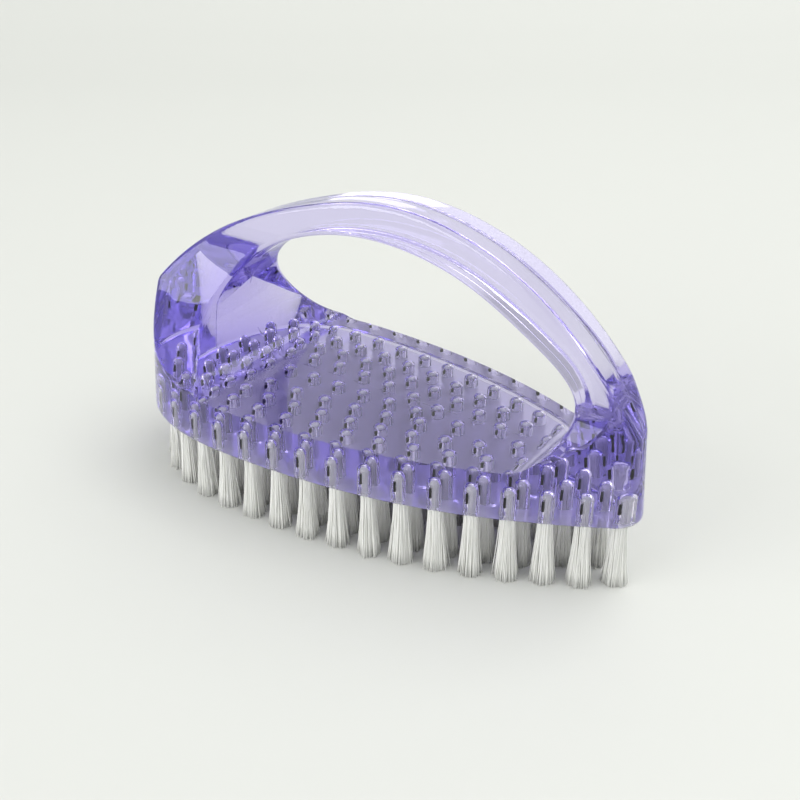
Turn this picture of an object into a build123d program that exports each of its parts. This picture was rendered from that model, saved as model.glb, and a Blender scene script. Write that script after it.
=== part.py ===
from build123d import *
from math import cos, hypot, radians, sin, tan
import os

# Hand-held acrylic nail brush. The body is one moulding: a base shaped like a flat iron with an arched
# handle over it. Nylon tufts are folded double into blind holes and pinned there by flat wire anchors.
# The origin is the centre of the footprint on the plane of the bristle tips. +X points to the narrow
# tip, +Z up, and XZ is the plane of symmetry. All sizes are in millimetres.

# Body
LENGTH = 97.0
HALF_WIDTH = 21.8
TIP_RADIUS = 4.8
TIP_SLOPE = 30.0
BRISTLE_HEIGHT = 12.5
DRAFT = 4.5
BASE_THICKNESS = 8.4
HANDLE_RISE = 34.2
HANDLE_HALF_WIDTH = 4.3
BASE_EDGE_RADIUS = 0.9
END_EDGE_RADIUS = 2.5
HANDLE_EDGE_RADIUS = 0.9

# Tufts, in loops that follow the outline, and a row on the centre line
HOLE_RADIUS = 1.2
HOLE_DEPTH = 5.0
TUFT_CLEARANCE = 0.05
TUFT_TIP_RADIUS = 1.8
TUFT_PITCH = 5.8
LOOP_INSETS = (3.4, 7.5, 11.5, 15.8)
BACK_MARGIN = 6.5
PAIR_GAP = 4.4
CENTRE_ROW_START = 22.0
CENTRE_ROW_PITCH = 5.6
CENTRE_ROW_COUNT = 7

# Flat wire anchors, wider than the hole so that they bite into its wall
ANCHOR_BITE = 0.3
ANCHOR_HEIGHT = 1.8
ANCHOR_THICKNESS = 0.3
ANCHOR_SINK = 1.5

# Levels and ends worked out from the driving dimensions
BASE_BOTTOM = BRISTLE_HEIGHT
BASE_TOP = BASE_BOTTOM + BASE_THICKNESS
HOLE_TOP = BASE_BOTTOM + HOLE_DEPTH
ANCHOR_TOP = HOLE_TOP - ANCHOR_SINK
ANCHOR_WIDTH = 2 * (HOLE_RADIUS + ANCHOR_BITE)
BACK = -LENGTH / 2
TIP = LENGTH / 2


def curve(points, start, end):
    """A smooth curve through the points that leaves and arrives in the given directions."""
    return Spline(*points, tangents=[start, end], tangent_scalars=[1, 1])


def half_outline():
    """Half of the base's outline: a free curve from the rounded back end, then the tip's round nose."""
    slope = radians(TIP_SLOPE)
    nose = (TIP - TIP_RADIUS * (1 - sin(slope)), TIP_RADIUS * cos(slope))
    points = [(BACK, 0), (BACK + 7.7, 15.7), (BACK + 37, HALF_WIDTH), (BACK + 72, 15.0), nose]
    side = curve(points, (0, 1), (cos(slope), -sin(slope)))
    return side, RadiusArc(nose, (TIP, 0), TIP_RADIUS)


def footprint():
    half = half_outline()
    return make_face([*half, *[mirror(edge, Plane.XZ) for edge in half]])


def drafted_wall():
    """The footprint drawn up past the handle, leaning in by the mould's draft."""
    height = BASE_THICKNESS + HANDLE_RISE + 1
    lean = height * tan(radians(DRAFT))
    upper = scale(footprint(), by=(1 - 2 * lean / LENGTH, 1 - lean / HALF_WIDTH, 1))
    return loft([Pos(0, 0, BASE_BOTTOM) * footprint(), Pos(0, 0, BASE_BOTTOM + height) * upper])


def rise(x, z):
    """A point of the side view: x from the back end, z above the base's top face."""
    return (BACK + x, BASE_TOP + z)


def dome_view():
    """Side view of the moulding's outside, from the lower rim over the handle's back."""
    dome_points = [(0, 0), (4.2, 13.8), (17.5, 24.5), (34.5, 31.0), (53, HANDLE_RISE), (71.7, 29.9),
                   (89, 16.9), (LENGTH, 0)]
    dome = curve([rise(x, z) for x, z in dome_points], (0, 1), (0, -1))
    base = Polyline(rise(LENGTH, 0), (TIP, BASE_BOTTOM), (BACK, BASE_BOTTOM), rise(0, 0))
    return make_face([dome, base])


def opening_view():
    """Side view of the opening for the fingers: the arch's inside over the base's flat top."""
    arch_points = [(27, 0), (18.6, 9.0), (22.5, 18.5), (34, 25.5), (50, 28.1), (66, 25.0), (79, 17.8),
                   (86.2, 9.5), (79, 0)]
    arch = curve([rise(x, z) for x, z in arch_points], (-1, 0), (-1, 0))
    floor = Line(rise(79, 0), rise(27, 0))
    return make_face([arch, floor])


def foot_view(spread, points, top):
    """End view of one foot: full width on the base, drawn in by a hollow curve to the slim handle."""
    flare = [(spread, 0), *points, (HANDLE_HALF_WIDTH, top)]
    side = curve([(y, BASE_TOP + z) for y, z in flare], (-1, 0.25), (0, 1))
    ceiling = BASE_TOP + HANDLE_RISE + 1
    edges = [
        Line((0, BASE_BOTTOM), (HALF_WIDTH + 3, BASE_BOTTOM)),
        Line((HALF_WIDTH + 3, BASE_BOTTOM), (HALF_WIDTH + 3, BASE_TOP)),
        Line((HALF_WIDTH + 3, BASE_TOP), (spread, BASE_TOP)),
        side,
        Line((HANDLE_HALF_WIDTH, BASE_TOP + top), (HANDLE_HALF_WIDTH, ceiling)),
        Line((HANDLE_HALF_WIDTH, ceiling), (0, ceiling)),
        Line((0, ceiling), (0, BASE_BOTTOM)),
    ]
    half = make_face(edges)
    return half + mirror(half, Plane.YZ)


def end_block(view, x0, x1):
    """The end view stretched along the brush from x0 to x1."""
    plane = Plane(origin=(x0, 0, 0), x_dir=(0, 1, 0), z_dir=(1, 0, 0))
    return extrude(plane * view, amount=x1 - x0)


def is_dome_edge(edge):
    """The edges where the dome cuts the base's wall."""
    return edge.length > 20 and edge.center().Z > BASE_TOP


def blank():
    """The moulding before its holes."""
    outside = drafted_wall() & extrude(Plane.XZ * dome_view(), amount=HALF_WIDTH + 5, both=True)
    ends = [edge for edge in outside.edges() if is_dome_edge(edge)]
    opening = extrude(Plane.XZ * opening_view(), amount=HALF_WIDTH + 5, both=True)
    outside = fillet(ends, END_EDGE_RADIUS) - opening
    back_view = foot_view(HALF_WIDTH + 1.5, [(13.2, 7.5), (7.6, 15.0)], 23.5)
    tip_view = foot_view(14.5, [(6.6, 5.2)], 12.5)
    across = end_block(back_view, BACK - 1, 0) + end_block(tip_view, 0, TIP + 1)
    return outside & across


def is_handle_edge(edge):
    """The long curved edges of the arch, outside and inside."""
    middle = edge.center()
    along = abs(middle.X) < 37 and middle.Z > BASE_TOP + 5
    return along and abs(middle.Y) > 3 and edge.geom_type != GeomType.LINE


def soften(body):
    """Round the arch's long edges and the base's lower edge."""
    body = fillet([edge for edge in body.edges() if is_handle_edge(edge)], HANDLE_EDGE_RADIUS)
    lower = [edge for edge in body.edges() if abs(edge.center().Z - BASE_BOTTOM) < 0.01]
    return fillet(lower, BASE_EDGE_RADIUS)


def inset_curve(inset, samples=400):
    """Points of the half outline moved inwards, from the tip's end to the back end."""
    path = Wire(half_outline())
    points = []
    for i in range(1, samples):
        place = path.position_at(1 - i / samples)
        along = path.tangent_at(1 - i / samples)
        x, y = place.X + inset * along.Y, place.Y - inset * along.X
        if y > 0:
            points.append((x, y))
    return points


def spaced(points, offset):
    """Places at an even pitch along a curve, the first one offset * pitch from its start."""
    steps = [hypot(b[0] - a[0], b[1] - a[1]) for a, b in zip(points, points[1:])]
    pitch = sum(steps) / round(sum(steps) / TUFT_PITCH)
    wanted, gone, places = offset * pitch, 0.0, []
    for start, end, step in zip(points, points[1:], steps):
        while step > 0 and wanted <= gone + step:
            part = (wanted - gone) / step
            places.append((start[0] + part * (end[0] - start[0]), start[1] + part * (end[1] - start[1])))
            wanted += pitch
        gone += step
    return places


def loop_places(number):
    """Tuft centres of one loop. The outer loop has a tuft on the nose, the others straddle it."""
    half = spaced(inset_curve(LOOP_INSETS[number]), 0.0 if number == 0 else 0.5)
    places = []
    for x, y in half:
        if x < BACK + BACK_MARGIN:
            continue
        places += [(x, y), (x, -y)] if y > PAIR_GAP / 2 else [(x, 0.0)]
    return places


def tuft_groups():
    """Each group of tufts by name: four loops from the outside in, then the centre row."""
    groups = {f"loop_{i + 1}": loop_places(i) for i in range(len(LOOP_INSETS))}
    start = BACK + CENTRE_ROW_START
    groups["centre_row"] = [(start + i * CENTRE_ROW_PITCH, 0.0) for i in range(CENTRE_ROW_COUNT)]
    return groups


def round_peg(radius, bottom, top):
    """A cylinder with a domed top end."""
    return Pos(0, 0, bottom) * extrude(Circle(radius), amount=top - radius - bottom) + \
        Pos(0, 0, top - radius) * Sphere(radius)


def hole():
    """A blind tuft hole with the groove that its anchor cuts on the way in."""
    groove_height = ANCHOR_TOP - BASE_BOTTOM + 1
    groove = Pos(0, 0, ANCHOR_TOP - groove_height / 2) * Box(ANCHOR_THICKNESS, ANCHOR_WIDTH, groove_height)
    return round_peg(HOLE_RADIUS, BASE_BOTTOM - 1, HOLE_TOP) + groove


def anchor():
    return Pos(0, 0, ANCHOR_TOP - ANCHOR_HEIGHT / 2) * Box(ANCHOR_THICKNESS, ANCHOR_WIDTH, ANCHOR_HEIGHT)


def tuft():
    """A bundle folded over its anchor: a peg in the hole, then a brush that widens to the tips."""
    radius = HOLE_RADIUS - TUFT_CLEARANCE
    peg = round_peg(radius, BASE_BOTTOM, HOLE_TOP - TUFT_CLEARANCE)
    brush = Pos(0, 0, BASE_BOTTOM / 2) * Cone(TUFT_TIP_RADIUS, radius, BASE_BOTTOM)
    return peg + brush - anchor()


def copies(shape, places):
    return [Pos(x, y, 0) * shape for x, y in places]


groups = tuft_groups()
every_place = [place for places in groups.values() for place in places]
nodes = {"brush_body": soften(blank()) - copies(hole(), every_place)}
for name, places in groups.items():
    nodes[f"tufts_{name}"] = Compound(copies(tuft(), places))
    nodes[f"anchors_{name}"] = Compound(copies(anchor(), places))

os.makedirs("parts", exist_ok=True)
for node, shape in nodes.items():
    export_step(shape, f"parts/{node}.step")
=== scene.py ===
import random
from math import cos, pi, radians, sin

import bpy
from mathutils import Matrix, Vector


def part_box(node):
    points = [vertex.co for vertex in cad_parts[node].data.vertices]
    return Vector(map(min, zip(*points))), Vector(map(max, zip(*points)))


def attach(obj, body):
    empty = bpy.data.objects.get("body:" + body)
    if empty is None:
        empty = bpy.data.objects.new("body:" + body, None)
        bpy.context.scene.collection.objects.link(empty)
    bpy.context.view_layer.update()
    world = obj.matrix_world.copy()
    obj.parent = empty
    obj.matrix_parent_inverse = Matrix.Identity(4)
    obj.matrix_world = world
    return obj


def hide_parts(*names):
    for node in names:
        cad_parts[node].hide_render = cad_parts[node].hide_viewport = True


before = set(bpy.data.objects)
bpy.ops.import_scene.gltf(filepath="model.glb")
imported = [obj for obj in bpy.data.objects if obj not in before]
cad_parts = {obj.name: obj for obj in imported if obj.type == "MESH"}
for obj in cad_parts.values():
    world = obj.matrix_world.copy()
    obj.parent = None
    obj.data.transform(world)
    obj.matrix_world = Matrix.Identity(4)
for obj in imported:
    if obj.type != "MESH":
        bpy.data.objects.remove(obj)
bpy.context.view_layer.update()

# Sizes, in metres
MM = 0.001
BASE_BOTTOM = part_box("brush_body")[0][2]
HOLE_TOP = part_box("tufts_loop_1")[1][2]
BUNDLE_RADIUS = 1.08 * MM
TIP_SPREAD = 1.6 * MM
FILAMENT_RADIUS = 0.08 * MM
FOLDS_PER_TUFT = 36
FILAMENT_SIDES = 5
UNDERSIDE_FROST = 0.5
FOLD_STEPS = 6
SHAFT_STEPS = 5
FLARE_POWER = 1.35
FILAMENT_STRAY = 0.27 * MM
TUFT_STRAY = 0.15 * MM
OUTWARD_LEAN = 0.25 * MM
TRIM_UNEVENNESS = 0.12 * MM

# Camera
CAMERA_AZIMUTH = 35.0
CAMERA_ELEVATION = 28.3
CAMERA_DISTANCE = 0.170
CAMERA_TARGET = Vector((0.0028, 0.0014, 0.0191))
CAMERA_LENS = 44.1

TUFT_NODES = [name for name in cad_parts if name.startswith("tufts_")]
ANCHOR_NODES = [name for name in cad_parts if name.startswith("anchors_")]


# Materials

def new_material(name):
    material = bpy.data.materials.new(name)
    material.use_nodes = True
    tree = material.node_tree
    return material, tree, tree.nodes["Principled BSDF"]


def add_node(tree, kind, **settings):
    node = tree.nodes.new(kind)
    for key, value in settings.items():
        setattr(node, key, value)
    return node


def noise(tree, coordinates, scale, detail=3.0, roughness=0.5):
    node = add_node(tree, "ShaderNodeTexNoise")
    node.inputs["Scale"].default_value = scale
    node.inputs["Detail"].default_value = detail
    node.inputs["Roughness"].default_value = roughness
    tree.links.new(coordinates, node.inputs["Vector"])
    return node.outputs["Fac"]


def ramp(tree, value, low, high, bottom, top):
    """Maps value from low..high to bottom..top, held at both ends."""
    node = add_node(tree, "ShaderNodeMapRange")
    for socket, number in zip(("From Min", "From Max", "To Min", "To Max"), (low, high, bottom, top)):
        node.inputs[socket].default_value = number
    tree.links.new(value, node.inputs["Value"])
    return node.outputs["Result"]


def maths(tree, operation, first, second=None):
    node = add_node(tree, "ShaderNodeMath", operation=operation)
    tree.links.new(first, node.inputs[0])
    if isinstance(second, (int, float)):
        node.inputs[1].default_value = second
    elif second is not None:
        tree.links.new(second, node.inputs[1])
    return node.outputs["Value"]


def bump(tree, height, distance, strength, under=None):
    node = add_node(tree, "ShaderNodeBump")
    node.inputs["Strength"].default_value = strength
    node.inputs["Distance"].default_value = distance
    tree.links.new(height, node.inputs["Height"])
    if under:
        tree.links.new(under, node.inputs["Normal"])
    return node.outputs["Normal"]


def acrylic():
    """Clear violet acrylic: tinted through its depth, with moulding waviness and the mould's parting line.

    The underside is satin, scuffed by drilling and tufting, so it sends light back up.
    """
    material, tree, shader = new_material("tinted_acrylic")
    shader.inputs["Base Color"].default_value = (0.97, 0.97, 1.0, 1.0)
    shader.inputs["Transmission Weight"].default_value = 1.0
    shader.inputs["IOR"].default_value = 1.49
    coordinates = add_node(tree, "ShaderNodeTexCoord").outputs["Object"]
    split = add_node(tree, "ShaderNodeSeparateXYZ")
    tree.links.new(coordinates, split.inputs["Vector"])
    off_centre = maths(tree, "ABSOLUTE", split.outputs["Y"])
    line = ramp(tree, off_centre, 0.0, 0.12 * MM, 1.0, 0.0)
    waves = noise(tree, coordinates, 90.0, 2.0)
    smudges = noise(tree, coordinates, 400.0, 4.0, 0.6)
    surface = bump(tree, waves, 0.25 * MM, 0.25)
    tree.links.new(bump(tree, line, 0.05 * MM, 0.9, surface), shader.inputs["Normal"])
    tree.links.new(ramp(tree, smudges, 0.45, 0.8, 0.015, 0.07), shader.inputs["Roughness"])
    scuffed = add_node(tree, "ShaderNodeBsdfDiffuse")
    scuffed.inputs["Color"].default_value = (0.92, 0.92, 0.97, 1.0)
    underside = add_node(tree, "ShaderNodeMixShader")
    frost = ramp(tree, split.outputs["Z"], BASE_BOTTOM, BASE_BOTTOM + 0.05 * MM, UNDERSIDE_FROST, 0.0)
    tree.links.new(frost, underside.inputs["Fac"])
    tree.links.new(shader.outputs["BSDF"], underside.inputs[1])
    tree.links.new(scuffed.outputs["BSDF"], underside.inputs[2])
    tree.links.new(underside.outputs["Shader"], tree.nodes["Material Output"].inputs["Surface"])
    tint = add_node(tree, "ShaderNodeVolumeAbsorption")
    tint.inputs["Color"].default_value = (0.40, 0.26, 0.94, 1.0)
    tint.inputs["Density"].default_value = 44.0
    tree.links.new(tint.outputs["Volume"], tree.nodes["Material Output"].inputs["Volume"])
    return material


def nylon():
    """White nylon filament: slightly translucent, finely ribbed and a little uneven in tone."""
    material, tree, shader = new_material("white_nylon")
    coordinates = add_node(tree, "ShaderNodeTexCoord").outputs["Object"]
    stretch = add_node(tree, "ShaderNodeMapping")
    stretch.inputs["Scale"].default_value = (1.0, 1.0, 0.12)
    tree.links.new(coordinates, stretch.inputs["Vector"])
    tone = noise(tree, stretch.outputs["Vector"], 3500.0, 2.0)
    colours = add_node(tree, "ShaderNodeValToRGB")
    colours.color_ramp.elements[0].position = 0.3
    colours.color_ramp.elements[0].color = (0.95, 0.95, 0.93, 1.0)
    colours.color_ramp.elements[1].position = 0.7
    colours.color_ramp.elements[1].color = (0.995, 0.995, 0.985, 1.0)
    tree.links.new(tone, colours.inputs["Fac"])
    tree.links.new(colours.outputs["Color"], shader.inputs["Base Color"])
    tree.links.new(ramp(tree, tone, 0.3, 0.7, 0.30, 0.48), shader.inputs["Roughness"])
    tree.links.new(bump(tree, tone, 0.02 * MM, 0.3), shader.inputs["Normal"])
    through = add_node(tree, "ShaderNodeBsdfTranslucent")
    mix = add_node(tree, "ShaderNodeMixShader")
    mix.inputs["Fac"].default_value = 0.3
    tree.links.new(colours.outputs["Color"], through.inputs["Color"])
    tree.links.new(shader.outputs["BSDF"], mix.inputs[1])
    tree.links.new(through.outputs["BSDF"], mix.inputs[2])
    tree.links.new(mix.outputs["Shader"], tree.nodes["Material Output"].inputs["Surface"])
    return material


def anchor_steel():
    """Flat drawn wire, dull grey with fine marks along its length."""
    material, tree, shader = new_material("anchor_steel")
    coordinates = add_node(tree, "ShaderNodeTexCoord").outputs["Object"]
    stretch = add_node(tree, "ShaderNodeMapping")
    stretch.inputs["Scale"].default_value = (1.0, 0.1, 1.0)
    tree.links.new(coordinates, stretch.inputs["Vector"])
    marks = noise(tree, stretch.outputs["Vector"], 6000.0, 3.0)
    shader.inputs["Base Color"].default_value = (0.78, 0.78, 0.80, 1.0)
    shader.inputs["Metallic"].default_value = 1.0
    tree.links.new(ramp(tree, marks, 0.3, 0.7, 0.28, 0.55), shader.inputs["Roughness"])
    tree.links.new(bump(tree, marks, 0.02 * MM, 0.4), shader.inputs["Normal"])
    return material


def floor_paint():
    material, tree, shader = new_material("floor_paint")
    shader.inputs["Base Color"].default_value = (0.62, 0.625, 0.60, 1.0)
    shader.inputs["Roughness"].default_value = 0.55
    return material


def dress(piece, material):
    piece.data.materials.clear()
    piece.data.materials.append(material)


# Bristles

def solid_centres(node):
    """The centre line of every tuft in a CAD node, from its separate solids."""
    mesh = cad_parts[node].data
    parent = list(range(len(mesh.vertices)))

    def root(i):
        while parent[i] != i:
            parent[i] = parent[parent[i]]
            i = parent[i]
        return i

    for edge in mesh.edges:
        a, b = (root(i) for i in edge.vertices)
        parent[a] = b
    groups = {}
    for vertex in mesh.vertices:
        groups.setdefault(root(vertex.index), []).append(vertex.co)
    centres = []
    for points in groups.values():
        xs, ys = [p.x for p in points], [p.y for p in points]
        centres.append(((min(xs) + max(xs)) / 2, (min(ys) + max(ys)) / 2))
    return sorted(centres)


def disc_point(dice):
    """A random place in the bundle's half disc, as a distance off the fold line and one along it."""
    while True:
        across, along = dice.uniform(0.12, 1.0), dice.uniform(-1.0, 1.0)
        if across * across + along * along <= 1.0:
            return across, along


def shaft(side, across, along, lean, dice):
    """One leg of a folded filament, from its trimmed tip up to the hole's mouth."""
    stray = (dice.gauss(0, FILAMENT_STRAY), dice.gauss(0, FILAMENT_STRAY))
    trim = dice.uniform(0.0, TRIM_UNEVENNESS)
    points = []
    for i in range(SHAFT_STEPS):
        up = i / SHAFT_STEPS
        spread = (1 - up) ** FLARE_POWER
        reach = BUNDLE_RADIUS + (TIP_SPREAD - BUNDLE_RADIUS) * spread
        x = side * across * reach + (lean[0] + stray[0]) * spread
        y = along * reach + (lean[1] + stray[1]) * spread
        points.append(Vector((x, y, trim + (BASE_BOTTOM - trim) * up)))
    return points


def folded_filament(lean, dice):
    """A filament's centre line: up one leg, over the anchor, and down the other."""
    across, along = disc_point(dice)
    x, y = across * BUNDLE_RADIUS, along * BUNDLE_RADIUS
    shoulder = HOLE_TOP - BUNDLE_RADIUS - 0.12 * MM
    arc = [Vector((x * cos(pi * i / FOLD_STEPS), y, shoulder + x * 0.95 * sin(pi * i / FOLD_STEPS)))
           for i in range(FOLD_STEPS + 1)]
    mouth = [Vector((side * x, y, BASE_BOTTOM)) for side in (1, -1)]
    first = shaft(1, across, along, lean, dice)
    second = shaft(-1, across, along, lean, dice)
    return first + [mouth[0]] + arc + [mouth[1]] + second[::-1]


def add_tube(points, radius, vertices, faces):
    """A thin closed tube along the points."""
    start = len(vertices)
    for i, point in enumerate(points):
        ahead = points[min(i + 1, len(points) - 1)] - points[max(i - 1, 0)]
        ahead.normalize()
        side = Vector((0, 1, 0)).cross(ahead).normalized()
        other = ahead.cross(side)
        for k in range(FILAMENT_SIDES):
            angle = 2 * pi * k / FILAMENT_SIDES
            vertices.append(point + radius * (cos(angle) * side + sin(angle) * other))
    for i in range(len(points) - 1):
        for k in range(FILAMENT_SIDES):
            a, b = start + i * FILAMENT_SIDES + k, start + i * FILAMENT_SIDES + (k + 1) % FILAMENT_SIDES
            faces.append((a, b, b + FILAMENT_SIDES, a + FILAMENT_SIDES))
    last = start + (len(points) - 1) * FILAMENT_SIDES
    faces.append(tuple(range(start + FILAMENT_SIDES - 1, start - 1, -1)))
    faces.append(tuple(range(last, last + FILAMENT_SIDES)))


def bristles(node, material, seed):
    """The loose filaments of one group of tufts, in place of its plain CAD solids."""
    dice = random.Random(seed)
    vertices, faces = [], []
    for x, y in solid_centres(node):
        outward = Vector((x, y)).normalized() if abs(x) + abs(y) > 0 else Vector((0, 0))
        lean = (outward.x * OUTWARD_LEAN + dice.gauss(0, TUFT_STRAY),
                outward.y * OUTWARD_LEAN + dice.gauss(0, TUFT_STRAY))
        for _ in range(FOLDS_PER_TUFT):
            path = [point + Vector((x, y, 0)) for point in folded_filament(lean, dice)]
            add_tube(path, FILAMENT_RADIUS, vertices, faces)
    mesh = bpy.data.meshes.new(f"bristles_{node}")
    mesh.from_pydata(vertices, [], faces)
    mesh.polygons.foreach_set("use_smooth", [True] * len(mesh.polygons))
    mesh.update()
    piece = bpy.data.objects.new(node.replace("tufts", "bristles"), mesh)
    bpy.context.scene.collection.objects.link(piece)
    dress(piece, material)
    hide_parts(node)
    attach(piece, "root")


# Stage

def stage_floor():
    """A pale sweep: flat under the brush, then curved up behind it."""
    width, front, back, radius, height = 3.0, -1.5, 0.9, 0.5, 1.6
    profile = [(front, 0.0), (back - radius, 0.0)]
    profile += [(back - radius + radius * sin(radians(a)), radius - radius * cos(radians(a)))
                for a in range(10, 91, 10)]
    profile.append((back, height))
    turn = Matrix.Rotation(radians(CAMERA_AZIMUTH), 4, "Z")
    vertices = [turn @ Vector((x, y, z)) for y, z in profile for x in (-width, width)]
    faces = [(2 * i, 2 * i + 1, 2 * i + 3, 2 * i + 2) for i in range(len(profile) - 1)]
    mesh = bpy.data.meshes.new("floor")
    mesh.from_pydata(vertices, [], faces)
    mesh.polygons.foreach_set("use_smooth", [True] * len(mesh.polygons))
    piece = bpy.data.objects.new("floor", mesh)
    bpy.context.scene.collection.objects.link(piece)
    dress(piece, floor_paint())


def area_light(name, size, power, place, aim=(0.0, 0.0, 0.02)):
    data = bpy.data.lights.new(name, "AREA")
    data.shape, data.size, data.size_y = "RECTANGLE", size[0], size[1]
    data.energy = power
    light = bpy.data.objects.new(name, data)
    bpy.context.scene.collection.objects.link(light)
    light.location = place
    light.rotation_euler = (Vector(aim) - Vector(place)).to_track_quat("-Z", "Y").to_euler()


def lights():
    area_light("overhead", (1.2, 0.8), 8.5, (0.35, 0.35, 1.1))
    area_light("front", (0.9, 0.5), 5.5, (-0.5, -0.9, 0.35))
    world = bpy.data.worlds.new("studio")
    bpy.context.scene.world = world
    world.use_nodes = True
    background = world.node_tree.nodes["Background"]
    background.inputs["Color"].default_value = (0.98, 1.0, 0.98, 1.0)
    background.inputs["Strength"].default_value = 0.88


def camera():
    azimuth, elevation = radians(CAMERA_AZIMUTH), radians(CAMERA_ELEVATION)
    away = Vector((sin(azimuth) * cos(elevation), -cos(azimuth) * cos(elevation), sin(elevation)))
    data = bpy.data.cameras.new("camera")
    data.lens = CAMERA_LENS
    data.sensor_width = 36.0
    data.clip_start = 0.005
    view = bpy.data.objects.new("camera", data)
    bpy.context.scene.collection.objects.link(view)
    view.location = CAMERA_TARGET + away * CAMERA_DISTANCE
    view.rotation_euler = (-away).to_track_quat("-Z", "Y").to_euler()
    bpy.context.scene.camera = view


dress(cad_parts["brush_body"], acrylic())
steel = anchor_steel()
for name in ANCHOR_NODES:
    dress(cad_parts[name], steel)
white = nylon()
for seed, name in enumerate(TUFT_NODES):
    bristles(name, white, seed)

stage_floor()
lights()
camera()

scene = bpy.context.scene
scene.view_settings.view_transform = "Standard"
scene.cycles.max_bounces = 32
scene.cycles.transmission_bounces = 32
scene.cycles.glossy_bounces = 8
scene.cycles.diffuse_bounces = 24
